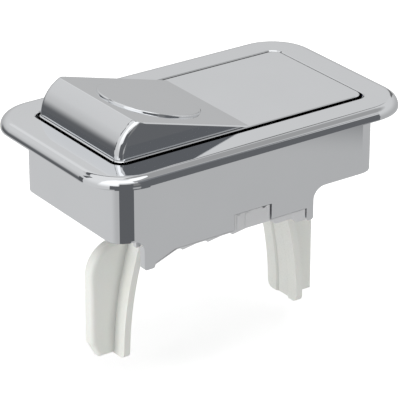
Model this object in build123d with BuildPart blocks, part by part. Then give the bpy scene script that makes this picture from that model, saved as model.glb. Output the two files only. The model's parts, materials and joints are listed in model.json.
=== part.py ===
from build123d import *
import os
from math import asin, atan2, cos, sin, sqrt, tan

os.makedirs("parts", exist_ok=True)

# Push button cistern actuator: a surround that drops into a cut-out in the cistern lid,
# a rocker with a wedge to press, and two legs that reach down to the flush valve.
# Millimetres, +Z up. The origin is the middle of the cut-out, on the plane that the flange sits on.
# The wedge is at -X and the front is at -Y.

# Flange and tub of the surround
FLANGE_LENGTH = 110.0
FLANGE_WIDTH = 67.0
FLANGE_CORNER = 14.4
FLANGE_HEIGHT = 3.2
FLANGE_ROUND = 2.9
OPENING_LENGTH = 89.0
OPENING_WIDTH = 46.3
OPENING_CORNER = 3.7
OPENING_CHAMFER = 0.3
TUB_WALL = 2.3
TUB_DEPTH = 20.2

# Skirts that hang from the long walls of the tub, with their drops measured from the tub's lower edge
SKIRT_LEFT = -37.4
SKIRT_RIGHT = 22.8
FRONT_DROP = 10.0
BACK_DROP = 7.4
EDGE_DROP = 5.9
SKIRT_ROOT = 4.0
LEFT_FOOT = 3.4
RIGHT_FOOT = 2.5
FOOT_SLANT = 0.5
FOOT_ROUND = 0.8
NOTCH_LEFT = -6.0
NOTCH_RIGHT = 7.4
NOTCH_DROP = 0.9

# Snap ramps inside the tub that hold the carrier
RAMP_PLACES = (-17.0, 13.5)
RAMP_LENGTH = 6.0
RAMP_PROUD = 1.1
RAMP_HEIGHT = 3.0
RAMP_RISE = 0.2

# Rocker cap
ROCKER_GAP_END = 0.9
ROCKER_GAP_SIDE = 1.4
PLATE_PROUD = 0.3
CAP_CORNER = 3.0
CAP_WALL = 2.0
CAP_HEIGHT = 4.5
CAP_CHAMFER = 0.25
NOSE_LEDGE = 0.4
WEDGE_LEDGE = 0.35
WEDGE_DRAFT = 2.0
WEDGE_EDGE = 2.3
WEDGE_ROUND = 0.5
RIDGE_INSET = 6.6
RIDGE_HEIGHT = 10.5
SLOPE_FOOT = 2.0
DISC_DIAMETER = 31.0
DISC_PLACE = -18.6
DISC_PROUD = 0.6
DISC_ROUND = 0.45

# Rocker frame under the cap
PIVOT_DEPTH = 2.4
HUB_RADIUS = 3.2
HUB_LENGTH = 28.0
BEAM_SPREAD = 24.0
BEAM_WALL = 3.0
BEAM_DROP = 3.0
BEAM_LEFT = -32.0
BEAM_RIGHT = 31.0
CROSS_BAR = 2.4
CROSS_DEPTH = 4.0
WEB_LENGTH = 9.0
WEB_WALL = 1.8

# Tongues of the cap that hook under the beams
TONGUE_PLACES = (-25.0, 11.0)
TONGUE_LENGTH = 4.0
TONGUE_WALL = 1.4
TONGUE_NOSE = 0.7
NOSE_HEIGHT = 0.9

# Axle, leg pins and clips
AXLE_DIAMETER = 4.0
AXLE_LENGTH = 37.6
PIN_DIAMETER = 3.0
PIN_CHAMFER = 0.3
CLIP_WALL = 0.8
CLIP_DIAMETER = 6.2
CLIP_MOUTH = 2.4
GROOVE_DEPTH = 0.4

# Push legs: a bow up to the bend, a return bend, then upright to the pin
LEG_REACH = 32.05
LEG_BOW = 112.0
LEG_BEND = 25.0
LEG_RETURN = 18.0
LEG_DEPTH = 68.4
LEG_WIDTH = 15.0
LEG_WALL = 2.2
LEG_CORNER = 2.2
LEG_EYE_WIDTH = 19.8
FIN_DEPTH = 8.85
FIN_WALL = 4.4
FIN_SHOULDER = 10.3
FIN_TOP = 31.7
FIN_CUT = 2.7
FIN_CUT_RISE = 5.0
FIN_ROUND = 1.4
GROOVE_WIDTH = 5.2
GROOVE_SINK = 0.6
GROOVE_CHAMFER = 0.5

# Carrier inside the tub
CARRIER_LEFT = -33.6
CARRIER_RIGHT = 19.9
CARRIER_WALL = 1.6
CARRIER_RISE = 2.5
CARRIER_SHOW = 0.5
HEEL_DROP = 2.6
HEEL_LENGTH = 7.2
TAB_LENGTH = 5.0
TAB_DROP = 5.0
FLOOR_DEPTH = 16.5
FLOOR_WALL = 2.0
TOOTH_FIRST = -24.2
TOOTH_PITCH = 8.8
TOOTH_COUNT = 3
TOOTH_DEPTH = 0.7
TOOTH_LENGTH = 5.0
HOOK_SLANT = 1.0
HOOK_GAP = 0.6
HOOK_RIB = 1.2
HOOK_RIB_PITCH = 3.0
APRON_STEP = 1.5
APRON_DROP = 3.2
TOWER_WALL = 3.0
TOWER_BASE = 16.0
SLOT_MARGIN = 1.2

# Return spring and rubber buffers
SPRING_PLACE = -12.0
SPRING_DIAMETER = 7.6
SPRING_WIRE = 0.9
SPRING_TURNS = 5
SPRING_FLATS = 8
SPIGOT_DIAMETER = 5.0
SPIGOT_HEIGHT = 1.6
BUFFER_LENGTH = 4.0
BUFFER_WIDTH = 3.6
BUFFER_HEIGHT = 1.6
BUFFER_CHAMFER = 0.4
REST_PLACE = 16.5

# Clearances
RUN_GAP = 0.05
SEAT_GAP = 0.1
SIDE_GAP = 0.2
STOP_GAP = 0.2
OVERLAP = 0.5

# Sizes worked out from the ones above
tub_length = OPENING_LENGTH + 2 * TUB_WALL
tub_width = OPENING_WIDTH + 2 * TUB_WALL
tub_corner = OPENING_CORNER + TUB_WALL
inner_side = OPENING_WIDTH / 2
skirt_edge = -TUB_DEPTH - EDGE_DROP
notch_top = -TUB_DEPTH - NOTCH_DROP
ramp_top = RAMP_RISE - TUB_DEPTH
cap_end = OPENING_LENGTH / 2 - ROCKER_GAP_END
cap_side = OPENING_WIDTH / 2 - ROCKER_GAP_SIDE
plate_top = FLANGE_HEIGHT + PLATE_PROUD
cap_bottom = plate_top - CAP_HEIGHT
cap_under = plate_top - CAP_WALL
wedge_end = cap_end - NOSE_LEDGE
wedge_side = cap_side - WEDGE_LEDGE
hollow_side = wedge_side - CAP_WALL
ridge_x = RIDGE_INSET - wedge_end
ridge_z = plate_top + RIDGE_HEIGHT
slope = atan2(RIDGE_HEIGHT, SLOPE_FOOT - ridge_x)
pivot_z = -PIVOT_DEPTH
beam_bottom = pivot_z - BEAM_DROP
beam_inner = BEAM_SPREAD / 2 - BEAM_WALL / 2
beam_outer = BEAM_SPREAD / 2 + BEAM_WALL / 2
leg_bottom = -LEG_DEPTH
floor_top = -FLOOR_DEPTH
floor_bottom = floor_top - FLOOR_WALL
carrier_top = floor_top + CARRIER_RISE
carrier_edge = skirt_edge - CARRIER_SHOW
carrier_heel = carrier_edge - HEEL_DROP
carrier_side = inner_side - SIDE_GAP
carrier_inner = carrier_side - CARRIER_WALL
flush_side = inner_side + TUB_WALL - SIDE_GAP
lip_left = SKIRT_LEFT + LEFT_FOOT + FOOT_SLANT + SIDE_GAP
lip_top = skirt_edge - SIDE_GAP
tower_inner = HUB_LENGTH / 2 + SIDE_GAP
tower_outer = tower_inner + TOWER_WALL
clip_inner = tower_outer + SEAT_GAP


def slope_height(x, depth):
    """Height of the line that lies depth under the wedge's slope, at x."""
    return plate_top + (SLOPE_FOOT - x) * tan(slope) - depth / cos(slope)


def leg_middle(z):
    """Distance of the middle of a leg's wall from the YZ plane at height z."""
    if z < -LEG_BEND:
        return bow_x + sqrt(LEG_BOW**2 - (z - leg_bottom) ** 2)
    return return_x - sqrt(LEG_RETURN**2 - min(z - return_z, 0) ** 2)


def bow_line(side, shift, top_angle):
    """Three points of the bow from the foot up to an angle, shift outside the middle of the leg's wall."""
    reach = LEG_BOW + shift
    angles = (0, top_angle / 2, top_angle)
    return [(side * (bow_x + reach * cos(a)), leg_bottom + reach * sin(a)) for a in angles]


def return_line(side, shift):
    """Three points of the return bend from the bow to the upright, shift outside the middle of the wall."""
    reach = LEG_RETURN - shift
    angles = (bend, bend / 2, 0)
    return [(side * (return_x - reach * cos(a)), return_z - reach * sin(a)) for a in angles]


def wall_plane(side, y):
    """Upright plane along X at distance y from the middle, in front for side 1 and behind for side -1."""
    return Plane.XZ.offset(side * y)


# Bow and return bend of a leg, and the fin outside it
bow_x = LEG_REACH - LEG_BOW
bend = asin((LEG_DEPTH - LEG_BEND) / LEG_BOW)
return_x = bow_x + (LEG_BOW + LEG_RETURN) * cos(bend)
return_z = leg_bottom + (LEG_BOW + LEG_RETURN) * sin(bend)
pin_x = leg_middle(pivot_z)
fin_angle = asin((LEG_DEPTH - FIN_TOP) / LEG_BOW)
fin_reach = LEG_REACH + FIN_DEPTH
fin_shoulder = min(FIN_SHOULDER, fin_reach - leg_middle(-FIN_TOP) - LEG_WALL / 2)
left_fin_corner = ((-fin_reach, leg_bottom + FIN_CUT_RISE), (FIN_CUT - fin_reach, leg_bottom))
right_fin_corner = ((fin_reach, leg_bottom),)

# Places at full press: the rocker has turned by the slope's angle, and the legs have stayed upright
leg_travel = pin_x * sin(slope)
leg_shift = pin_x * (1 - cos(slope))
slot_near = leg_middle(floor_top + leg_travel) - leg_shift - LEG_WALL / 2 - SLOT_MARGIN
slot_far = leg_middle(floor_bottom) + LEG_WALL / 2 + SLOT_MARGIN
press_x = BEAM_LEFT * cos(slope) + BEAM_DROP * sin(slope)
press_z = pivot_z - BEAM_DROP * cos(slope) + BEAM_LEFT * sin(slope)
rest_pad_bottom = beam_bottom - SEAT_GAP - BUFFER_HEIGHT
spring_length = beam_bottom - floor_top - 2 * SEAT_GAP
slot_height = RAMP_HEIGHT + SEAT_GAP + SIDE_GAP

# Lower edge of the carrier's side walls, from the notch to the right foot
apron_wave = (
    (NOTCH_RIGHT, carrier_edge),
    (NOTCH_RIGHT + APRON_STEP, carrier_edge - APRON_STEP),
    (CARRIER_RIGHT - APRON_DROP - APRON_STEP, carrier_edge - APRON_STEP),
    (CARRIER_RIGHT - APRON_DROP, carrier_edge - APRON_DROP),
    (CARRIER_RIGHT, carrier_edge - APRON_DROP),
)

# Plane of the wedge's slope at the middle of the disc
slope_plane = Plane(
    origin=(DISC_PLACE, 0, slope_height(DISC_PLACE, 0)),
    x_dir=(cos(slope), 0, -sin(slope)),
    z_dir=(sin(slope), 0, cos(slope)),
)

# Surround: flange, tub and two skirts in one moulding
with BuildPart() as surround_housing:
    with BuildSketch():
        RectangleRounded(FLANGE_LENGTH, FLANGE_WIDTH, FLANGE_CORNER)
    extrude(amount=FLANGE_HEIGHT)
    fillet(surround_housing.faces().sort_by(Axis.Z)[-1].edges(), FLANGE_ROUND)
    with BuildSketch(Plane.XY.offset(-TUB_DEPTH)):
        RectangleRounded(tub_length, tub_width, tub_corner)
    extrude(amount=TUB_DEPTH)
    with BuildSketch(Plane.XY.offset(-TUB_DEPTH)):
        RectangleRounded(OPENING_LENGTH, OPENING_WIDTH, OPENING_CORNER)
    extrude(amount=TUB_DEPTH + FLANGE_HEIGHT, mode=Mode.SUBTRACT)
    top_face = surround_housing.faces().sort_by(Axis.Z)[-1]
    chamfer(top_face.inner_wires()[0].edges(), OPENING_CHAMFER)
    for side, drop, heel in ((1, FRONT_DROP, HEEL_DROP), (-1, BACK_DROP, 0)):
        skirt_foot = -TUB_DEPTH - drop
        with BuildSketch(wall_plane(side, inner_side)) as skirt:
            with BuildLine():
                Polyline(
                    (SKIRT_LEFT - SKIRT_ROOT - OVERLAP, OVERLAP - TUB_DEPTH),
                    (SKIRT_LEFT - SKIRT_ROOT - OVERLAP, -TUB_DEPTH),
                    (SKIRT_LEFT, -TUB_DEPTH),
                    (SKIRT_LEFT, skirt_foot),
                    (SKIRT_LEFT + LEFT_FOOT, skirt_foot),
                    (SKIRT_LEFT + LEFT_FOOT + FOOT_SLANT, skirt_edge - heel),
                    (SKIRT_LEFT + LEFT_FOOT + HEEL_LENGTH, skirt_edge),
                    (NOTCH_LEFT, skirt_edge),
                    (NOTCH_LEFT, notch_top),
                    (NOTCH_RIGHT, notch_top),
                    (NOTCH_RIGHT, skirt_edge),
                    (SKIRT_RIGHT - RIGHT_FOOT, skirt_edge),
                    (SKIRT_RIGHT - RIGHT_FOOT, skirt_foot),
                    (SKIRT_RIGHT, skirt_foot),
                    (SKIRT_RIGHT, -TUB_DEPTH),
                    (SKIRT_RIGHT + SKIRT_ROOT + OVERLAP, -TUB_DEPTH),
                    (SKIRT_RIGHT + SKIRT_ROOT + OVERLAP, OVERLAP - TUB_DEPTH),
                    close=True,
                )
            make_face()
            fillet(skirt.vertices().group_by(Axis.Y)[0], FOOT_ROUND)
            fillet(skirt.vertices().group_by(Axis.Y)[-2].sort_by(Axis.X)[1:3], SKIRT_ROOT)
        extrude(amount=side * TUB_WALL)
        for place in RAMP_PLACES:
            with BuildSketch(Plane.YZ.offset(place - RAMP_LENGTH / 2)):
                with BuildLine():
                    Polyline(
                        (-side * (inner_side + OVERLAP), ramp_top),
                        (-side * (inner_side - RAMP_PROUD), ramp_top),
                        (-side * inner_side, ramp_top - RAMP_HEIGHT),
                        (-side * (inner_side + OVERLAP), ramp_top - RAMP_HEIGHT),
                        close=True,
                    )
                make_face()
            extrude(amount=RAMP_LENGTH)
surround_housing.part.label = "surround_housing"
export_step(surround_housing.part, "parts/surround_housing.step")

# Wedge of the cap: a straight slope, a rounded nose and two long side faces that lean in a little
with BuildPart() as wedge:
    with BuildSketch(Plane.XZ):
        with BuildLine():
            TangentArc((-wedge_end, plate_top), (ridge_x, ridge_z), tangent=(0, 1))
            Polyline(
                (ridge_x, ridge_z),
                (SLOPE_FOOT, plate_top),
                (SLOPE_FOOT, cap_under),
                (-wedge_end, cap_under),
                (-wedge_end, plate_top),
            )
        make_face()
    extrude(amount=wedge_side, both=True)
    with BuildSketch(Plane.XY.offset(cap_under)):
        Rectangle(FLANGE_LENGTH, 2 * wedge_side)
    extrude(amount=ridge_z + OVERLAP - cap_under, taper=WEDGE_DRAFT, mode=Mode.INTERSECT)
    nose_edges = wedge.faces().filter_by(GeomType.CYLINDER)[0].edges().sort_by(Axis.Y)
    foot_edges = wedge.edges().group_by(Axis.X)[0].filter_by(Axis.Y, reverse=True)
    fillet([nose_edges[0], nose_edges[-1], *foot_edges], WEDGE_EDGE)
    slope_face = wedge.faces().filter_by(slope_plane)[0]
    fillet(slope_face.edges().sort_by(Axis.X)[:-1], WEDGE_ROUND)

# Rocker cap: the wedge on a flat plate, hollow below, with a raised disc for the finger
with BuildPart() as rocker_cap:
    with BuildSketch(Plane.XY.offset(cap_bottom)):
        RectangleRounded(2 * cap_end, 2 * cap_side, CAP_CORNER)
    extrude(amount=CAP_HEIGHT)
    chamfer(rocker_cap.faces().sort_by(Axis.Z)[-1].edges(), CAP_CHAMFER)
    add(wedge.part)
    with BuildSketch(slope_plane.offset(-OVERLAP)):
        Circle(DISC_DIAMETER / 2)
    extrude(amount=OVERLAP + DISC_PROUD)
    slope_axis = Axis(slope_plane.origin, slope_plane.z_dir)
    disc_face = rocker_cap.faces().filter_by(slope_plane).sort_by(slope_axis)[-1]
    fillet(disc_face.edges(), DISC_ROUND)
    with BuildSketch(Plane.XZ):
        with BuildLine():
            TangentArc((-wedge_end, plate_top), (ridge_x, ridge_z), tangent=(0, 1))
            Polyline(
                (ridge_x, ridge_z),
                (SLOPE_FOOT, plate_top),
                (wedge_end, plate_top),
                (wedge_end, cap_bottom - CAP_WALL - OVERLAP),
                (-wedge_end, cap_bottom - CAP_WALL - OVERLAP),
                (-wedge_end, plate_top),
            )
        make_face()
        offset(amount=-CAP_WALL)
    extrude(amount=hollow_side, both=True, mode=Mode.SUBTRACT)
    for place in TONGUE_PLACES:
        tongue_top = max(cap_under, slope_height(place - TONGUE_LENGTH / 2, CAP_WALL)) + SEAT_GAP
        nose_top = beam_bottom - SEAT_GAP
        for side in (1, -1):
            with BuildSketch(Plane.YZ.offset(place - TONGUE_LENGTH / 2)):
                with BuildLine():
                    Polyline(
                        (side * (beam_outer + SEAT_GAP + TONGUE_WALL), tongue_top),
                        (side * (beam_outer + SEAT_GAP), tongue_top),
                        (side * (beam_outer + SEAT_GAP), nose_top),
                        (side * (beam_outer - TONGUE_NOSE), nose_top),
                        (side * (beam_outer + SEAT_GAP), nose_top - NOSE_HEIGHT),
                        (side * (beam_outer + SEAT_GAP + TONGUE_WALL), nose_top - NOSE_HEIGHT),
                        close=True,
                    )
                make_face()
            extrude(amount=TONGUE_LENGTH)
rocker_cap.part.label = "rocker_cap"
export_step(rocker_cap.part, "parts/rocker_cap.step")

# Rocker frame: two beams under the cap, a hub for the axle and bars that carry the cap's ends
with BuildPart() as rocker_frame:
    seat_depth = CAP_WALL + SEAT_GAP
    for side in (1, -1):
        with BuildSketch(wall_plane(side, beam_inner)):
            with BuildLine():
                Polyline(
                    (BEAM_LEFT, beam_bottom),
                    (BEAM_RIGHT, beam_bottom),
                    (BEAM_RIGHT, plate_top - seat_depth),
                    (SLOPE_FOOT - seat_depth * tan(slope / 2), plate_top - seat_depth),
                    (BEAM_LEFT, slope_height(BEAM_LEFT, seat_depth)),
                    close=True,
                )
            make_face()
        extrude(amount=side * BEAM_WALL)
    with BuildSketch(Plane.XZ):
        with Locations((BEAM_RIGHT - CROSS_BAR / 2, plate_top - seat_depth - CROSS_DEPTH / 2)):
            Rectangle(CROSS_BAR, CROSS_DEPTH)
        with BuildLine():
            Polyline(
                (BEAM_LEFT, slope_height(BEAM_LEFT, seat_depth)),
                (BEAM_LEFT + CROSS_BAR, slope_height(BEAM_LEFT + CROSS_BAR, seat_depth)),
                (BEAM_LEFT + CROSS_BAR, slope_height(BEAM_LEFT, seat_depth) - CROSS_DEPTH),
                (BEAM_LEFT, slope_height(BEAM_LEFT, seat_depth) - CROSS_DEPTH),
                close=True,
            )
        make_face()
    extrude(amount=hollow_side - SEAT_GAP, both=True)
    with BuildSketch(Plane.XZ):
        with Locations((0, beam_bottom + WEB_WALL / 2)):
            with GridLocations(-2 * SPRING_PLACE, WEB_WALL, 2, 1):
                Rectangle(WEB_LENGTH, WEB_WALL)
    extrude(amount=BEAM_SPREAD / 2, both=True)
    with BuildSketch(Plane.XY.offset(beam_bottom - SPIGOT_HEIGHT)):
        with Locations((SPRING_PLACE, 0)):
            Circle(SPIGOT_DIAMETER / 2)
    extrude(amount=SPIGOT_HEIGHT + OVERLAP)
    with BuildSketch(Plane.XZ):
        with Locations((0, pivot_z)):
            Circle(HUB_RADIUS)
    extrude(amount=HUB_LENGTH / 2, both=True)
    with BuildSketch(Plane.XZ):
        with Locations((0, pivot_z)):
            Circle(AXLE_DIAMETER / 2 + RUN_GAP)
        with Locations((pin_x, pivot_z), (-pin_x, pivot_z)):
            Circle(PIN_DIAMETER / 2 + RUN_GAP)
    extrude(amount=HUB_LENGTH / 2, both=True, mode=Mode.SUBTRACT)
rocker_frame.part.label = "rocker_frame"
export_step(rocker_frame.part, "parts/rocker_frame.step")

# Axle through the towers of the carrier, with a groove for a clip near each end
with BuildPart() as rocker_axle:
    with BuildSketch(Plane.XZ):
        with Locations((0, pivot_z)):
            Circle(AXLE_DIAMETER / 2)
    extrude(amount=AXLE_LENGTH / 2, both=True)
    chamfer(rocker_axle.edges().group_by(Axis.Y)[0] + rocker_axle.edges().group_by(Axis.Y)[-1], PIN_CHAMFER)
    for side in (1, -1):
        with BuildSketch(wall_plane(side, clip_inner)):
            with Locations((0, pivot_z)):
                Circle(AXLE_DIAMETER)
                Circle(AXLE_DIAMETER / 2 - GROOVE_DEPTH, mode=Mode.SUBTRACT)
        extrude(amount=side * (CLIP_WALL + 2 * RUN_GAP), mode=Mode.SUBTRACT)
rocker_axle.part.label = "rocker_axle"
export_step(rocker_axle.part, "parts/rocker_axle.step")

# Clips in the grooves of the axle, open at the bottom
for side, name in ((1, "front_axle_clip"), (-1, "back_axle_clip")):
    with BuildPart() as axle_clip:
        with BuildSketch(wall_plane(side, clip_inner + RUN_GAP)):
            with Locations((0, pivot_z)):
                Circle(CLIP_DIAMETER / 2)
                Circle(AXLE_DIAMETER / 2 - GROOVE_DEPTH + RUN_GAP, mode=Mode.SUBTRACT)
            with Locations((0, pivot_z - CLIP_DIAMETER / 2)):
                Rectangle(CLIP_MOUTH, CLIP_DIAMETER, mode=Mode.SUBTRACT)
        extrude(amount=side * CLIP_WALL)
    axle_clip.part.label = name
    export_step(axle_clip.part, f"parts/{name}.step")

# Pins that hang the legs from the beams of the rocker frame
for side, name in ((-1, "left_leg_pin"), (1, "right_leg_pin")):
    with BuildPart() as leg_pin:
        with BuildSketch(Plane.XZ):
            with Locations((side * pin_x, pivot_z)):
                Circle(PIN_DIAMETER / 2)
        extrude(amount=beam_outer, both=True)
        chamfer(leg_pin.edges().group_by(Axis.Y)[0] + leg_pin.edges().group_by(Axis.Y)[-1], PIN_CHAMFER)
    leg_pin.part.label = name
    export_step(leg_pin.part, f"parts/{name}.step")

# Push legs: a bowed wall that hangs from an eye, with a fin outside and a groove inside
for side, name, fin_corner in ((-1, "left_leg", left_fin_corner), (1, "right_leg", right_fin_corner)):
    with BuildPart() as leg:
        with BuildSketch(Plane.XZ):
            with BuildLine():
                inner_bow = ThreePointArc(*bow_line(side, -LEG_WALL / 2, bend))
                outer_bow = ThreePointArc(*bow_line(side, LEG_WALL / 2, bend))
                inner_turn = ThreePointArc(*return_line(side, -LEG_WALL / 2))
                outer_turn = ThreePointArc(*return_line(side, LEG_WALL / 2))
                inner_top = (side * (pin_x - LEG_WALL / 2), pivot_z)
                outer_top = (side * (pin_x + LEG_WALL / 2), pivot_z)
                Line(inner_bow @ 0, outer_bow @ 0)
                Polyline(inner_turn @ 1, inner_top, outer_top, outer_turn @ 1)
            make_face()
        extrude(amount=LEG_WIDTH / 2, both=True)
        fillet(leg.edges().group_by(Axis.Z)[0].filter_by(Axis.X), LEG_CORNER)
        with BuildSketch(Plane.XZ):
            with BuildLine():
                shoulder_start = (side * (fin_reach - fin_shoulder), -FIN_TOP)
                shoulder_end = (side * fin_reach, -FIN_TOP - fin_shoulder)
                TangentArc(shoulder_start, shoulder_end, tangent=(side, 0))
                fin_root = ThreePointArc(*bow_line(side, 0, fin_angle))
                Polyline(shoulder_end, *fin_corner, fin_root @ 0)
                Line(fin_root @ 1, shoulder_start)
            make_face()
        extrude(amount=FIN_WALL / 2, both=True)
        fin_edges = leg.edges().filter_by(lambda e: side * e.center().X > LEG_REACH + LEG_WALL)
        fillet(fin_edges.filter_by(lambda e: abs(e.center().Y) > FIN_WALL / 4), FIN_ROUND)
        with BuildSketch(Plane.XZ):
            with Locations((side * pin_x, pivot_z)):
                Circle(HUB_RADIUS)
        extrude(amount=LEG_EYE_WIDTH / 2, both=True)
        with BuildSketch(Plane.XZ):
            with Locations((side * pin_x, pivot_z)):
                Circle(PIN_DIAMETER / 2 + RUN_GAP)
        extrude(amount=LEG_EYE_WIDTH / 2, both=True, mode=Mode.SUBTRACT)
        with BuildSketch(Plane.XZ):
            with BuildLine():
                groove_face = ThreePointArc(*bow_line(side, -LEG_WALL, bend))
                groove_floor = ThreePointArc(*bow_line(side, GROOVE_SINK - LEG_WALL / 2, bend))
                Line(groove_face @ 0, groove_floor @ 0)
                Line(groove_face @ 1, groove_floor @ 1)
            make_face()
        extrude(amount=GROOVE_WIDTH / 2, both=True, mode=Mode.SUBTRACT)
        arcs = leg.edges().filter_by(GeomType.CIRCLE)
        face_arcs = arcs.filter_by(lambda e: abs(e.radius - LEG_BOW + LEG_WALL / 2) < SEAT_GAP)
        chamfer(face_arcs.filter_by(lambda e: abs(e.center().Y) < LEG_WIDTH / 4), GROOVE_CHAMFER)
    leg.part.label = name
    export_step(leg.part, f"parts/{name}.step")

# Carrier: a floor with towers for the axle, and side walls that show under the skirts
with BuildPart() as bearing_carrier:
    with BuildSketch(Plane.XY.offset(floor_bottom)):
        with Locations(((CARRIER_LEFT + CARRIER_RIGHT) / 2, 0)):
            Rectangle(CARRIER_RIGHT - CARRIER_LEFT, 2 * carrier_side)
        with Locations((-(slot_near + slot_far) / 2, 0)):
            Rectangle(slot_far - slot_near, LEG_WIDTH + 2 * SLOT_MARGIN, mode=Mode.SUBTRACT)
    extrude(amount=FLOOR_WALL)
    for side, heel in ((1, HEEL_DROP), (-1, 0)):
        with BuildSketch(wall_plane(side, carrier_inner)):
            with BuildLine():
                Polyline(
                    (CARRIER_LEFT - TAB_LENGTH, floor_bottom),
                    (CARRIER_LEFT - TAB_LENGTH, floor_bottom - TAB_DROP),
                    (CARRIER_LEFT, floor_bottom - TAB_DROP),
                    (CARRIER_LEFT, carrier_heel),
                    (CARRIER_LEFT + HEEL_LENGTH, carrier_edge),
                    *apron_wave,
                    (CARRIER_RIGHT, carrier_top),
                    (CARRIER_LEFT, carrier_top),
                    (CARRIER_LEFT, floor_bottom),
                    close=True,
                )
            make_face()
        extrude(amount=side * CARRIER_WALL)
        with BuildSketch(wall_plane(side, carrier_inner)):
            with BuildLine():
                Polyline(
                    (lip_left, lip_top - heel),
                    (lip_left, carrier_heel),
                    (lip_left + HEEL_LENGTH, carrier_edge),
                    (NOTCH_LEFT + SIDE_GAP, carrier_edge),
                    (NOTCH_LEFT + SIDE_GAP, lip_top),
                    (lip_left + HEEL_LENGTH, lip_top),
                    close=True,
                )
            make_face()
            for tooth in range(TOOTH_COUNT):
                tooth_x = TOOTH_FIRST + tooth * TOOTH_PITCH
                with BuildLine():
                    Polyline(
                        (tooth_x - TOOTH_DEPTH, carrier_edge),
                        (tooth_x, carrier_edge - TOOTH_DEPTH),
                        (tooth_x + TOOTH_LENGTH, carrier_edge),
                        close=True,
                    )
                make_face()
        extrude(amount=side * (flush_side - carrier_inner))
        with BuildSketch(wall_plane(side, carrier_inner)):
            for place in RAMP_PLACES:
                with Locations((place, ramp_top + SEAT_GAP - slot_height / 2)):
                    Rectangle(RAMP_LENGTH + 2 * SIDE_GAP, slot_height)
        extrude(amount=side * CARRIER_WALL, mode=Mode.SUBTRACT)
        with BuildSketch(wall_plane(side, carrier_inner)):
            with BuildLine():
                Polyline(
                    (NOTCH_LEFT + SIDE_GAP, carrier_edge),
                    (NOTCH_RIGHT - HOOK_GAP, carrier_edge),
                    (NOTCH_RIGHT - HOOK_GAP, notch_top - SIDE_GAP),
                    (NOTCH_RIGHT - HOOK_GAP - HOOK_SLANT, notch_top - SIDE_GAP),
                    (NOTCH_RIGHT - HOOK_GAP - 2 * HOOK_SLANT, notch_top - HOOK_GAP - SIDE_GAP),
                    (NOTCH_RIGHT - HOOK_GAP - 3 * HOOK_SLANT, notch_top - SIDE_GAP),
                    (NOTCH_LEFT + SIDE_GAP, notch_top - SIDE_GAP),
                    close=True,
                )
            make_face()
            with BuildLine():
                Polyline(
                    *apron_wave,
                    (CARRIER_RIGHT, lip_top),
                    (NOTCH_RIGHT, lip_top),
                    close=True,
                )
            make_face()
        extrude(amount=side * (flush_side - carrier_inner))
        with BuildSketch(wall_plane(side, carrier_side)):
            with Locations((NOTCH_LEFT + HOOK_RIB_PITCH, (notch_top + carrier_edge) / 2)):
                with GridLocations(HOOK_RIB_PITCH, HOOK_RIB_PITCH, 2, 1):
                    Rectangle(HOOK_RIB, notch_top - carrier_edge - 2 * HOOK_GAP)
        extrude(amount=side * (inner_side + TUB_WALL - carrier_side))
        with BuildSketch(wall_plane(side, tower_inner)):
            with BuildLine():
                Polyline(
                    (-TOWER_BASE / 2, floor_bottom),
                    (TOWER_BASE / 2, floor_bottom),
                    (HUB_RADIUS, pivot_z),
                    (-HUB_RADIUS, pivot_z),
                    close=True,
                )
            make_face()
            with Locations((0, pivot_z)):
                Circle(HUB_RADIUS)
                Circle(AXLE_DIAMETER / 2 + RUN_GAP, mode=Mode.SUBTRACT)
        extrude(amount=side * TOWER_WALL)
    with BuildSketch(Plane.XY.offset(floor_bottom)):
        with Locations((REST_PLACE, BEAM_SPREAD / 2), (REST_PLACE, -BEAM_SPREAD / 2)):
            Rectangle(BUFFER_LENGTH, BUFFER_WIDTH)
    extrude(amount=rest_pad_bottom - floor_bottom)
    with BuildSketch(Plane.XY.offset(floor_bottom)):
        with Locations((SPRING_PLACE, 0)):
            Circle(SPIGOT_DIAMETER / 2)
    extrude(amount=FLOOR_WALL + SPIGOT_HEIGHT)
bearing_carrier.part.label = "bearing_carrier"
export_step(bearing_carrier.part, "parts/bearing_carrier.step")

# Return spring between the carrier's floor and the rocker frame: the wire's round section is drawn with flats
with BuildPart() as return_spring:
    with BuildLine() as coil:
        Helix(
            pitch=(spring_length - SPRING_WIRE) / SPRING_TURNS,
            height=spring_length - SPRING_WIRE,
            radius=(SPRING_DIAMETER - SPRING_WIRE) / 2,
            center=(SPRING_PLACE, 0, floor_top + SEAT_GAP + SPRING_WIRE / 2),
        )
    with BuildSketch(Plane(origin=coil.line @ 0, z_dir=coil.line % 0)):
        RegularPolygon(SPRING_WIRE / 2, SPRING_FLATS)
    sweep(path=coil.line, is_frenet=True)
return_spring.part.label = "return_spring"
export_step(return_spring.part, "parts/return_spring.step")

# Rubber buffers: the rest pair under the flat half, the press pair under the wedge
for side, place in ((1, "front"), (-1, "back")):
    for kind, x, bottom, top in (
        ("rest", REST_PLACE, rest_pad_bottom, beam_bottom - SEAT_GAP),
        ("press", press_x, floor_top, press_z - STOP_GAP),
    ):
        name = f"{place}_{kind}_buffer"
        with BuildPart() as buffer:
            with BuildSketch(Plane.XY.offset(bottom)):
                with Locations((x, -side * BEAM_SPREAD / 2)):
                    Rectangle(BUFFER_LENGTH, BUFFER_WIDTH)
            extrude(amount=top - bottom)
            chamfer(buffer.faces().sort_by(Axis.Z)[-1].edges(), BUFFER_CHAMFER)
        buffer.part.label = name
        export_step(buffer.part, f"parts/{name}.step")
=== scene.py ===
"""Looks of a push button cistern actuator: chrome surround and rocker, moulded legs and steel fittings."""

import json
import logging
import math
from dataclasses import dataclass
from enum import Enum
from typing import Any, Sequence

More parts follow.
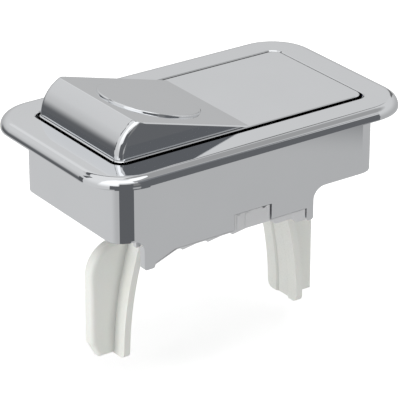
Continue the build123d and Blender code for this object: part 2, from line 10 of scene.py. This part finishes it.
import bpy
import numpy as np
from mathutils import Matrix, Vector


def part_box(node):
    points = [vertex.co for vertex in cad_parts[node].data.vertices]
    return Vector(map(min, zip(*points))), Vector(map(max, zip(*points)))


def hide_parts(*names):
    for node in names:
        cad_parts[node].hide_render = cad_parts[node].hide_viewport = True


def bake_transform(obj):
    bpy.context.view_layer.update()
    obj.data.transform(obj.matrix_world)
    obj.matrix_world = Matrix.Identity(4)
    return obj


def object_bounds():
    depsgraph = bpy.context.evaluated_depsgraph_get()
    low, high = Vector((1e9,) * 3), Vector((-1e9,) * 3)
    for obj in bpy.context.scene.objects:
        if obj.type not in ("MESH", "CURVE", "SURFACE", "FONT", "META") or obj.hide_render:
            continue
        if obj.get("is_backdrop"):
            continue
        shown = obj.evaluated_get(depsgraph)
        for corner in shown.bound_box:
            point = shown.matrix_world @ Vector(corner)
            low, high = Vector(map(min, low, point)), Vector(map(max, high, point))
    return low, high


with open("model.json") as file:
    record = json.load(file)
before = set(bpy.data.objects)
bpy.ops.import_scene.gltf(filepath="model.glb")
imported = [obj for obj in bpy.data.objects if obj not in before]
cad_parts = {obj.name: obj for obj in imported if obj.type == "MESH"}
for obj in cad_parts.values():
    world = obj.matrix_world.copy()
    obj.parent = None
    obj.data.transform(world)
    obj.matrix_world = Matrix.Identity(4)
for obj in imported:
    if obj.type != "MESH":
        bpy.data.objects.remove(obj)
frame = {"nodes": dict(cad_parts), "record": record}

LOG = logging.getLogger("cistern_actuator")
Colour = tuple[float, float, float]
Point = tuple[float, float, float]


class Slot(Enum):
    """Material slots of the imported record."""

    CHROME = "chrome"
    WHITE_PLASTIC = "white_plastic"
    GREY_PLASTIC = "grey_plastic"
    STEEL = "steel"
    RUBBER = "rubber"


Materials = dict[Slot, bpy.types.Material]


class Ray(Enum):
    """Outputs of the light path that the studio tells apart."""

    CAMERA = "Is Camera Ray"
    GLOSSY = "Is Glossy Ray"
    GLOSSY_DEPTH = "Glossy Depth"


class NodeGraph:
    """A node tree with short calls to add and join nodes."""

    def __init__(self, tree: bpy.types.NodeTree) -> None:
        """Take over a tree and empty it.

        Args:
            tree: The node tree to fill.
        """
        self.tree = tree
        self.tree.nodes.clear()

    def add(self, kind: str, settings: dict[str, Any] | None = None, **inputs: Any) -> bpy.types.Node:
        """Add a node, set its properties and feed its inputs.

        Args:
            kind: Type name of the node.
            settings: Properties of the node itself.
            **inputs: Input names, with spaces as underscores, or in0, in1 for an input by its place.
                A socket is linked and any other value is set.

        Returns:
            The new node.
        """
        node = self.tree.nodes.new(kind)
        for name, value in (settings or {}).items():
            setattr(node, name, value)
        for name, value in inputs.items():
            by_place = name.startswith("in") and name[2:].isdigit()
            socket = node.inputs[int(name[2:])] if by_place else node.inputs[name.replace("_", " ")]
            if isinstance(value, bpy.types.NodeSocket):
                self.tree.links.new(value, socket)
            else:
                socket.default_value = value
        return node

    def math(self, operation: str, *values: Any) -> bpy.types.NodeSocket:
        """Add a math node and return its output.

        Args:
            operation: Name of the operation.
            *values: Sockets or numbers, in the order of the node's inputs.

        Returns:
            The socket that holds the result.
        """
        inputs = {f"in{place}": value for place, value in enumerate(values)}
        return self.add("ShaderNodeMath", {"operation": operation}, **inputs).outputs[0]

    def ramp(
        self, value: bpy.types.NodeSocket, low: float, high: float, start: float, end: float,
    ) -> bpy.types.NodeSocket:
        """Carry a value smoothly from start at low to end at high.

        Args:
            value: The socket to read.
            low: Value at which the ramp begins.
            high: Value at which the ramp ends.
            start: Result at low and before.
            end: Result at high and after.

        Returns:
            The socket that holds the result.
        """
        node = self.add(
            "ShaderNodeMapRange", {"interpolation_type": "SMOOTHSTEP"},
            Value=value, From_Min=low, From_Max=high, To_Min=start, To_Max=end,
        )
        return node.outputs["Result"]

    def noise(self, scale: float, detail: float, stretch: Point = (1, 1, 1)) -> bpy.types.NodeSocket:
        """Add noise that stays fixed to the piece.

        Args:
            scale: Cells per metre.
            detail: Number of finer octaves.
            stretch: Scale of the pattern along each axis.

        Returns:
            The noise value, about 0.5 on average.
        """
        place = self.add("ShaderNodeTexCoord").outputs["Object"]
        mapped = self.add("ShaderNodeMapping", Vector=place, Scale=stretch).outputs["Vector"]
        return self.add("ShaderNodeTexNoise", Vector=mapped, Scale=scale, Detail=detail).outputs["Fac"]

    def mix(
        self, mask: bpy.types.NodeSocket, first: Any, second: Any, label: str = "",
    ) -> bpy.types.NodeSocket:
        """Mix two colours by a mask, through the mix node's colour inputs, 6 and 7, and its output 2.

        Args:
            mask: Socket from 0 to 1.
            first: Colour or socket where the mask is 0.
            second: Colour or socket where the mask is 1.
            label: Words on the node.

        Returns:
            The mixed colour.
        """
        ends = [end if isinstance(end, bpy.types.NodeSocket) else (*end, 1) for end in (first, second)]
        settings = {"data_type": "RGBA", "label": label}
        return self.add("ShaderNodeMix", settings, in0=mask, in6=ends[0], in7=ends[1]).outputs[2]

    def bump(self, height: bpy.types.NodeSocket, strength: float, distance: float) -> bpy.types.NodeSocket:
        """Turn a height into a normal.

        Args:
            height: Socket with the height.
            strength: Share of the bump that shows.
            distance: Height in metres of a full step.

        Returns:
            The bumped normal.
        """
        node = self.add("ShaderNodeBump", Height=height, Strength=strength, Distance=distance)
        return node.outputs["Normal"]


@dataclass(frozen=True)
class Finish:
    """A surface: two close colours that drift into each other, a range of roughness, a fine relief and,
    where a crease colour is given, painted shade in its creases.

    Scales are in cells per metre, and depths and reaches in metres.
    """

    slot: Slot
    colour: Colour
    second: Colour
    roughness: tuple[float, float]
    metallic: float = 0.0
    patch_scale: float = 60.0
    patch_detail: float = 2.0
    grain_scale: float = 900.0
    grain_detail: float = 4.0
    grain_range: tuple[float, float] = (0.3, 0.7)
    grain_stretch: Point = (1, 1, 1)
    relief: float = 0.1
    relief_depth: float = 2e-5
    scatter: float = 0.0
    scatter_depth: float = 0.0015
    # painted shade: an occlusion node darkens the base colour towards this colour in creases and corners,
    # within the reach, with this many samples
    painted_crease_shade: Colour | None = None
    painted_shade_reach: float = 0.003
    painted_shade_samples: int = 32

    def material(self) -> bpy.types.Material:
        """Build the material, with painted shade darkening its creases where the finish has a crease colour.

        Returns:
            A new material named after the slot.
        """
        made = bpy.data.materials.new(f"{self.slot.value}_finish")
        made.use_nodes = True
        graph = NodeGraph(made.node_tree)
        drift = graph.noise(self.patch_scale, self.patch_detail)
        colour = graph.mix(drift, self.colour, self.second)
        grain = graph.noise(self.grain_scale, self.grain_detail, self.grain_stretch)
        # painted shade: the occlusion share mixes the base colour towards the crease colour where nearby
        # faces close in
        if self.painted_crease_shade:
            facet = graph.add("ShaderNodeNewGeometry").outputs["True Normal"]
            settings = {"samples": self.painted_shade_samples, "only_local": True}
            clear = graph.add(
                "ShaderNodeAmbientOcclusion", settings, Distance=self.painted_shade_reach, Normal=facet,
            ).outputs["AO"]
            colour = graph.mix(clear, self.painted_crease_shade, colour)
        shader = graph.add(
            "ShaderNodeBsdfPrincipled",
            Base_Color=colour,
            Roughness=graph.ramp(grain, *self.grain_range, *self.roughness),
            Metallic=self.metallic,
            Normal=graph.bump(grain, self.relief, self.relief_depth),
            Subsurface_Weight=self.scatter,
            Subsurface_Scale=self.scatter_depth,
        )
        graph.add("ShaderNodeOutputMaterial", Surface=shader.outputs["BSDF"])
        return made


FINISHES = (
    Finish(
        Slot.CHROME, (0.89, 0.905, 0.925), (0.86, 0.875, 0.895), (0.015, 0.03),
        metallic=1.0, relief=0.02, relief_depth=4e-6,
    ),
    Finish(
        Slot.WHITE_PLASTIC, (0.84, 0.85, 0.81), (0.81, 0.82, 0.78), (0.26, 0.34),
        # painted shade in the legs' creases and corners
        grain_scale=4000.0, relief=0.02, scatter=0.05, painted_crease_shade=(0.50, 0.51, 0.49),
    ),
    Finish(Slot.GREY_PLASTIC, (0.645, 0.65, 0.66), (0.59, 0.595, 0.605), (0.3, 0.42)),
    Finish(
        Slot.STEEL, (0.62, 0.62, 0.61), (0.54, 0.54, 0.53), (0.2, 0.34),
        metallic=1.0, grain_stretch=(1, 0.05, 1),
    ),
    Finish(Slot.RUBBER, (0.02, 0.02, 0.021), (0.03, 0.03, 0.03), (0.6, 0.8), relief=0.3),
)


@dataclass
class SurfaceGrid:
    """A surface over two parameters, kept as a grid of points."""

    points: np.ndarray
    wrap_columns: bool = False

    def faces(self) -> np.ndarray:
        """Join neighbouring points of the grid into quads.

        Returns:
            Corner indices, one row for each quad.
        """
        rows, columns = self.points.shape[:2]
        index = np.arange(rows * columns).reshape(rows, columns)
        if self.wrap_columns:
            index = np.hstack([index, index[:, :1]])
        corners = (index[:-1, :-1], index[1:, :-1], index[1:, 1:], index[:-1, 1:])
        return np.stack(corners, axis=-1).reshape(-1, 4)

    def mesh(self, name: str, caps: Sequence[Sequence[int]] = ()) -> bpy.types.Mesh:
        """Write the grid into a mesh with smooth faces.

        Args:
            name: Name of the mesh.
            caps: Extra faces that close open ends.

        Returns:
            The new mesh.
        """
        made = bpy.data.meshes.new(name)
        faces = [*self.faces().tolist(), *[list(cap) for cap in caps]]
        made.from_pydata(self.points.reshape(-1, 3).tolist(), [], faces)
        made.polygons.foreach_set("use_smooth", np.ones(len(made.polygons), dtype=bool))
        made.update()
        return made


@dataclass
class SubAssembly:
    """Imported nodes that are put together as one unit."""

    nodes: tuple[str, ...] = ()

    def build(self) -> list[tuple[bpy.types.Object, Slot]]:
        """Gather the unit's pieces.

        Returns:
            Each packed object with the slot that the record gives it.
        """
        slots = {part["node"]: Slot(part["material_slot"]) for part in frame["record"]["subparts"]}
        return [(frame["nodes"][node], slots[node]) for node in self.nodes]

    def dress(self, materials: Materials) -> None:
        """Build the unit, give every piece the material of its slot and report it.

        Args:
            materials: Material of each slot.
        """
        for piece, slot in self.build():
            piece.data.materials.clear()
            piece.data.materials.append(materials[slot])
            LOG.info("%s wears %s", piece.name, slot.value)


@dataclass
class Surround(SubAssembly):
    """Moulding that drops into the lid: flange, tub and skirts."""

    nodes: tuple[str, ...] = ("surround_housing",)


@dataclass
class Bearing(SubAssembly):
    """Carrier in the tub, with the axle, its clips and the rubber stops."""

    nodes: tuple[str, ...] = (
        "bearing_carrier", "rocker_axle", "front_axle_clip", "back_axle_clip",
        "front_rest_buffer", "back_rest_buffer", "front_press_buffer", "back_press_buffer",
    )


@dataclass
class Rocker(SubAssembly):
    """Plate with the wedge, the frame under it and the pins that the legs hang from."""

    nodes: tuple[str, ...] = ("rocker_cap", "rocker_frame", "left_leg_pin", "right_leg_pin")


@dataclass
class PushLegs(SubAssembly):
    """The two legs that press the flush valve."""

    nodes: tuple[str, ...] = ("left_leg", "right_leg")


@dataclass
class ReturnSpring(SubAssembly):
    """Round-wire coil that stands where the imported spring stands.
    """

    node: str = "return_spring"
    nodes: tuple[str, ...] = (node,)
    coil_name: str = "spring_coil"
    foot_body: str = "housing"
    head_body: str = "rocker"
    wire: float = 0.0009
    turns: float = 5.0
    steps: int = 240
    sides: int = 14
    overrun: float = 0.001

    def box(self) -> tuple[np.ndarray, np.ndarray]:
        """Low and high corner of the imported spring."""
        low, high = (np.array(corner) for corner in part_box(self.node))
        return low, high

    def path(self) -> np.ndarray:
        """Points of the wire's middle: a circle that climbs evenly from the foot to the head.

        Returns:
            Array of points, one row for each step.
        """
        low, high = self.box()
        centre = (low + high) / 2
        radius = (high[0] - low[0] - self.wire) / 2
        share = np.linspace(0, 1, self.steps)
        angle = 2 * math.pi * self.turns * share
        height = low[2] + self.wire / 2 + share * (high[2] - low[2] - self.wire)
        across = centre[0] + radius * np.cos(angle)
        depth = centre[1] + radius * np.sin(angle)
        return np.column_stack([across, depth, height])

    def coil(self) -> bpy.types.Object:
        """Carry a circle along the path, square to it, and close both ends.

        Returns:
            The finished coil.
        """
        path = self.path()
        along = np.gradient(path, axis=0)
        along /= np.linalg.norm(along, axis=1, keepdims=True)
        outward = path - path.mean(axis=0)
        outward[:, 2] = 0
        outward -= along * np.sum(along * outward, axis=1, keepdims=True)
        outward /= np.linalg.norm(outward, axis=1, keepdims=True)
        sideways = np.cross(along, outward)
        angle = np.linspace(0, 2 * math.pi, self.sides, endpoint=False)[None, :, None]
        ring = outward[:, None] * np.cos(angle) + sideways[:, None] * np.sin(angle)
        grid = SurfaceGrid(path[:, None] + self.wire / 2 * ring, wrap_columns=True)
        last = self.sides * (self.steps - 1)
        caps = [range(self.sides), range(last + self.sides - 1, last - 1, -1)]
        piece = bpy.data.objects.new(self.coil_name, grid.mesh(self.coil_name, caps))
        bpy.context.scene.collection.objects.link(piece)
        return piece

    def build(self) -> list[tuple[bpy.types.Object, Slot]]:
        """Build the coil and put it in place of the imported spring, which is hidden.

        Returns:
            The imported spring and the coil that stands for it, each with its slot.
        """
        piece = self.coil()
        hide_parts(self.node)
        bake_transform(piece)
        return [*super().build(), (piece, Slot.STEEL)]


@dataclass(frozen=True)
class Softbox:
    """A large round lamp, with its size in metres and its power in watts."""

    name: str
    place: Point
    size: float
    power: float


WHITE: Colour = (1, 1, 1)
COOL: Colour = (0.97, 1.0, 1.06)  # the dark panels are a little blue


@dataclass(frozen=True)
class Panel:
    """A part of the studio that bright metal mirrors, between two bearings and two heights, in degrees.

    A bearing is counted from +X, at the right, towards +Y, at the back, and a height from the horizon.
    A blur is the width over which an edge fades. A deep panel shows only in a reflection of a reflection.
    """

    name: str
    bearing: float
    half_width: float
    low: float
    high: float
    level: float
    side_blur: float = 2.0
    low_blur: float = 2.0
    high_blur: float = 2.0
    deep: bool = False
    tint: Colour = WHITE

    def colour(self) -> Colour:
        """The panel's level in its tint."""
        red, green, blue = (self.level * share for share in self.tint)
        return red, green, blue


@dataclass
class Studio:
    """White surroundings, a mirrored studio for bright metal, soft lamps, a pale floor and the camera.

    Each sky level is a height in degrees and the brightness there. Later panels lie over earlier ones, and
    deep ones show past the glossy depth deep_from. Matt surfaces get the diffuse level from all sides.
    """

    sky_levels: tuple[tuple[float, float], ...] = (
        (-90, 0.475), (-20, 0.475), (-8, 0.45), (5, 0.505), (16, 0.58),
        (25, 0.65), (40, 0.67), (50, 0.36), (90, 0.36),
    )
    panels: tuple[Panel, ...] = (
        Panel("back left floor", 125, 45, -95, -22, 0.60, side_blur=40),
        Panel(
            "back left skirting", 127, 24, -15.5, -5, 0.12,
            side_blur=12, low_blur=3, high_blur=16, tint=COOL,
        ),
        Panel(
            "back left wall, deep", 127, 24, -19, 23, 0.12,
            side_blur=12, high_blur=4, deep=True, tint=COOL,
        ),
        Panel("front skirting", -99.5, 39.5, -28, 14, 0.12, tint=COOL),
        Panel("front wall", -75, 25, -22.6, 35, 0.13, low_blur=1.4, tint=COOL),
        Panel("front low window", -90, 7, -21, -8, 0.42, side_blur=4),
        Panel("front window", -90, 5, 12, 30, 0.22, side_blur=7, low_blur=6, high_blur=4),
        Panel("front right cornice", -62, 18, 36, 47, 0.21, side_blur=2.5, high_blur=3, tint=COOL),
        Panel("back window", 78, 9, 35, 46, 0.76, side_blur=8, low_blur=6, high_blur=4),
        Panel("back right post, upper", 48.3, 1, 28, 38, 0.18, side_blur=3),
        Panel("back right post, lower", 39.5, 3, 5, 20, 0.15),
        Panel("left screen", 184, 42, -19, 90, 0.62, side_blur=4, low_blur=4),
        Panel("left screen, upper", 184, 42, 42, 90, 0.80, side_blur=4, low_blur=48),
        Panel("left softbox", 206, 20, 42, 90, 1.15, side_blur=6, low_blur=48),
        Panel("left front softbox", 229, 41, 47, 90, 1.15, side_blur=4),
        Panel("front ceiling", -80, 100, 62, 90, 1.15, low_blur=1.5),
        Panel("back ceiling", 95, 45, 50, 90, 0.80),
        Panel("top of the ceiling", 0, 180, 83, 90, 0.75, low_blur=4),
        Panel("left front skirting", -138, 11, -22, 14, 0.12, tint=COOL),
        Panel("left front wall", -114, 15, 8, 33, 0.12, tint=COOL),
        Panel("back cornice", 85, 30, 45, 50, 0.1, side_blur=4, low_blur=1, high_blur=1, tint=COOL),
        Panel("left back post, lower", 136.5, 5.5, -15, 12, 0.1, side_blur=1.5, tint=COOL),
        Panel("left back post, upper", 136.5, 5.5, 28, 48, 0.1, side_blur=1.5, tint=COOL),
        Panel("back window, deep", 103, 25, 27, 45, 0.72, side_blur=14, low_blur=8, deep=True),
    )
    deep_from: float = 1.5
    diffuse_level: float = 0.62
    floor_drop: float = 0.0085
    floor_span: float = 6.0
    floor_colours: tuple[Colour, Colour] = ((0.9, 0.9, 0.9), (0.88, 0.88, 0.88))
    floor_patch_scale: float = 3.0
    floor_patch_detail: float = 2.0
    floor_glow: float = 0.43
    camera_place: Point = (-0.3933, -0.5594, 0.2920)
    camera_aim: Point = (0.5207, 0.7413, -0.4235)
    camera_lens: float = 227.1
    camera_near: float = 0.01
    lamps: tuple[Softbox, ...] = (
        Softbox("left_softbox", (-0.75, 0.12, 0.08), 0.6, 2.9),
        Softbox("top_softbox", (0.05, -0.15, 0.8), 0.7, 3.0),
    )

    def sky(self, graph: NodeGraph, height: bpy.types.NodeSocket) -> bpy.types.NodeSocket:
        """Brightness by height alone: a ramp from straight down at 0 to straight up at 1.

        Args:
            graph: Tree of the world.
            height: Socket with the height in degrees.

        Returns:
            Socket with the brightness.
        """
        straight_down, straight_up = self.sky_levels[0][0], self.sky_levels[-1][0]
        span = straight_up - straight_down
        share = graph.math("MULTIPLY_ADD", height, 1 / span, -straight_down / span)
        ramp = graph.add("ShaderNodeValToRGB", Fac=share)
        steps = ramp.color_ramp.elements
        while len(steps) < len(self.sky_levels):
            steps.new(0.5)  # its place is set below
        for step, (degrees, level) in zip(steps, self.sky_levels):
            step.position = (degrees - straight_down) / span
            step.color = (level, level, level, 1)
        return ramp.outputs["Color"]

    def mirrored_level(self, graph: NodeGraph, deep: bpy.types.NodeSocket) -> bpy.types.NodeSocket:
        """Brightness of the studio in each direction: the sky by height, then the panels over it.

        Args:
            graph: Tree of the world.
            deep: Socket that is 1 for a reflection of a reflection and 0 for others.

        Returns:
            Socket with the brightness.
        """
        direction = graph.add("ShaderNodeTexCoord").outputs["Generated"]
        axes = graph.add("ShaderNodeSeparateXYZ", Vector=direction).outputs
        height = graph.math("DEGREES", graph.math("ARCSINE", axes["Z"]))
        level = self.sky(graph, height)
        for panel in self.panels:
            turned = graph.add(
                "ShaderNodeVectorRotate", {"rotation_type": "Z_AXIS"},
                Vector=direction, Angle=-math.radians(panel.bearing),
            ).outputs["Vector"]
            flat = graph.add("ShaderNodeSeparateXYZ", Vector=turned).outputs
            bearing = graph.math("DEGREES", graph.math("ARCTAN2", flat["Y"], flat["X"]))
            aside = graph.math("ABSOLUTE", bearing)
            inside = graph.ramp(aside, panel.half_width, panel.half_width + panel.side_blur, 1, 0)
            above = graph.ramp(height, panel.low - panel.low_blur, panel.low, 0, 1)
            below = graph.ramp(height, panel.high, panel.high + panel.high_blur, 1, 0)
            mask = graph.math("MULTIPLY", graph.math("MULTIPLY", inside, above), below)
            if panel.deep:
                mask = graph.math("MULTIPLY", mask, deep)
            level = graph.mix(mask, level, panel.colour(), panel.name)
        return level

    def build_world(self) -> None:
        """White to the camera, a studio to bright metal and even light to the rest."""
        world = bpy.data.worlds.new("studio")
        bpy.context.scene.world = world
        world.use_nodes = True
        graph = NodeGraph(world.node_tree)
        path = graph.add("ShaderNodeLightPath").outputs
        even = (self.diffuse_level, self.diffuse_level, self.diffuse_level, 1)
        soft = graph.add("ShaderNodeBackground", Color=even).outputs[0]
        deep = graph.math("GREATER_THAN", path[Ray.GLOSSY_DEPTH.value], self.deep_from)
        mirrored = graph.add("ShaderNodeBackground", Color=self.mirrored_level(graph, deep)).outputs[0]
        white = graph.add("ShaderNodeBackground", Color=(*WHITE, 1)).outputs[0]
        glossy, camera = path[Ray.GLOSSY.value], path[Ray.CAMERA.value]
        lit = graph.add("ShaderNodeMixShader", in0=glossy, in1=soft, in2=mirrored).outputs[0]
        seen = graph.add("ShaderNodeMixShader", in0=camera, in1=lit, in2=white).outputs[0]
        graph.add("ShaderNodeOutputWorld", Surface=seen)

    def floor_material(self) -> bpy.types.Material:
        """Pale matt finish that glows to the camera alone, so that it is white outside the shadow.

        Returns:
            The new material.
        """
        made = bpy.data.materials.new("floor_finish")
        made.use_nodes = True
        graph = NodeGraph(made.node_tree)
        camera = graph.add("ShaderNodeLightPath").outputs[Ray.CAMERA.value]
        drift = graph.noise(self.floor_patch_scale, self.floor_patch_detail)
        pale = graph.add("ShaderNodeBsdfDiffuse", Color=graph.mix(drift, *self.floor_colours)).outputs[0]
        glow = graph.add("ShaderNodeEmission", Color=(*WHITE, 1), Strength=self.floor_glow).outputs[0]
        bright = graph.add("ShaderNodeAddShader", in0=pale, in1=glow).outputs[0]
        seen = graph.add("ShaderNodeMixShader", in0=camera, in1=pale, in2=bright).outputs[0]
        graph.add("ShaderNodeOutputMaterial", Surface=seen)
        return made

    def build_floor(self) -> None:
        """Flat square below the legs, with room for the pressed one, that bright metal doesn't mirror."""
        low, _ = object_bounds()
        side = np.array([-self.floor_span / 2, self.floor_span / 2])
        across, depth = np.meshgrid(side, side, indexing="ij")
        level = np.full_like(across, low.z - self.floor_drop)
        grid = SurfaceGrid(np.stack([across, depth, level], axis=-1))
        floor = bpy.data.objects.new("floor", grid.mesh("floor"))
        bpy.context.scene.collection.objects.link(floor)
        floor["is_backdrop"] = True
        floor.visible_glossy = False
        floor.data.materials.append(self.floor_material())

    def build_lamps(self) -> None:
        """Large soft lamps that point at the middle of the object and don't show in bright metal."""
        low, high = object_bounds()
        middle = (low + high) / 2
        for box in self.lamps:
            lamp = bpy.data.lights.new(box.name, "AREA")
            lamp.shape = "DISK"
            lamp.size = box.size
            lamp.energy = box.power
            holder = bpy.data.objects.new(box.name, lamp)
            holder.location = box.place
            holder.rotation_mode = "QUATERNION"
            holder.rotation_quaternion = (middle - Vector(box.place)).to_track_quat("-Z", "Y")
            holder.visible_glossy = False
            bpy.context.scene.collection.objects.link(holder)

    def build_camera(self) -> None:
        """Camera at the photograph's place and angle."""
        lens = bpy.data.cameras.new("camera")
        lens.lens = self.camera_lens
        lens.clip_start = self.camera_near
        holder = bpy.data.objects.new("camera", lens)
        holder.location = self.camera_place
        holder.rotation_mode = "QUATERNION"
        holder.rotation_quaternion = Vector(self.camera_aim).to_track_quat("-Z", "Y")
        bpy.context.scene.collection.objects.link(holder)
        bpy.context.scene.camera = holder

    def build(self) -> None:
        """Set up the whole studio."""
        bpy.context.scene.view_settings.view_transform = "Standard"
        self.build_world()
        self.build_floor()
        self.build_lamps()
        self.build_camera()


@dataclass
class Actuator:
    """The whole part, unit by unit."""

    units: tuple[SubAssembly, ...] = (Surround(), Bearing(), Rocker(), PushLegs(), ReturnSpring())

    def build(self) -> None:
        """Make one material for each slot and dress every unit."""
        materials = {finish.slot: finish.material() for finish in FINISHES}
        for unit in self.units:
            unit.dress(materials)


def main() -> None:
    """Build the studio and the actuator."""
    logging.basicConfig(level=logging.INFO, format="%(name)s: %(message)s")
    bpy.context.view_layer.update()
    Studio().build()
    Actuator().build()


if __name__ == "__main__":
    main()
